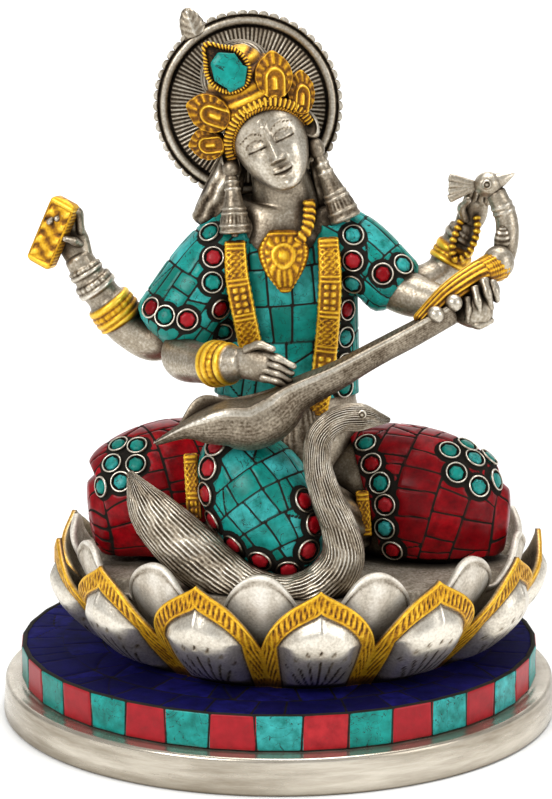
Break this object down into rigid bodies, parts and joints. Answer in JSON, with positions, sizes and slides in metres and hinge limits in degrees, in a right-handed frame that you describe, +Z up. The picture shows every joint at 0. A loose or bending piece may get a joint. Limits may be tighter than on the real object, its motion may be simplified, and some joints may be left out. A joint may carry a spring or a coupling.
{
  "type": "saraswati figure",
  "caption": "Seated four-armed goddess playing a veena on a lotus, stone-inlaid cast brass, with a swan, a halo disc and a round tiled plinth.",
  "frame": {"origin": "middle of the round underside of the plinth", "axes": "+Z up, +X to the right of a viewer who faces the figure, which looks along -Y"},
  "size_m": [0.174, 0.174, 0.2174],
  "materials": {
    "plate_brass": "turned, silvered and worn to a pale satin",
    "antique_silver": "silvered cast brass with dark wax left in the recesses and gilt paint on the ornament",
    "band_stone": "hand-ground turquoise and coral tiles in dark cement",
    "lapis": "hand-ground lapis tiles in dark cement, waxed",
    "turquoise": "hand-ground turquoise tiles with wire bezels in dark cement, waxed",
    "coral": "hand-ground coral tiles with wire bezels in dark cement, waxed"
  },
  "bodies": {
    "root": {"plinth": "plate_brass", "band_tiles": "band_stone", "lapis_paving": "lapis", "lotus_seat": "antique_silver", "goddess": "antique_silver", "robe_inlay": "turquoise", "right_knee_inlay": "coral", "left_knee_inlay": "coral", "shin_inlay": "turquoise", "crown_stone": "turquoise", "halo": "antique_silver", "swan": "antique_silver", "veena": "antique_silver"}
  },
  "joints": []
}
